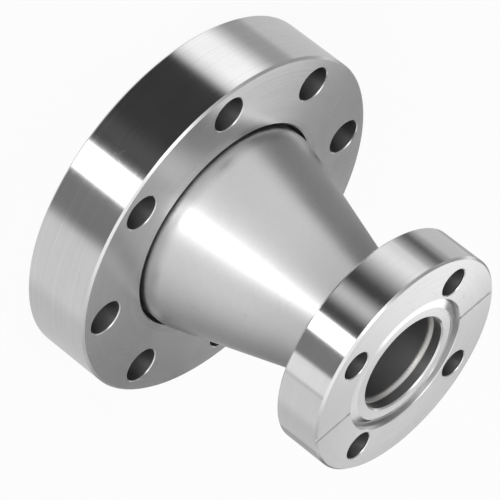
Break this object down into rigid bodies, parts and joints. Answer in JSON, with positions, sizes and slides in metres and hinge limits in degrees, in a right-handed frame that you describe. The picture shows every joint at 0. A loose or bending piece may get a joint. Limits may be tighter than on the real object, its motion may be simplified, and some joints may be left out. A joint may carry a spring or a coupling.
{
  "type": "conical reducer nipple",
  "caption": "High-vacuum conical reducer with a large and a small knife-edge flange welded to the ends of a thin steel cone.",
  "frame": {"origin": "on the bore axis, in the plane of the large flange's sealing face, which the part stands on", "axes": "+Z along the bore from the large flange to the small one, +X through a bolt hole of the large flange"},
  "size_m": [0.0856, 0.0856, 0.07],
  "materials": {
    "turned_steel": "fine turned stainless steel",
    "satin_steel": "satin stainless steel, brushed round the cone",
    "weld_metal": "bright fused weld ripples"
  },
  "bodies": {
    "root": {"large_flange": "turned_steel", "small_flange": "turned_steel", "reducer_cone": "satin_steel", "large_weld_bead": "weld_metal", "small_weld_bead": "weld_metal"}
  },
  "joints": []
}
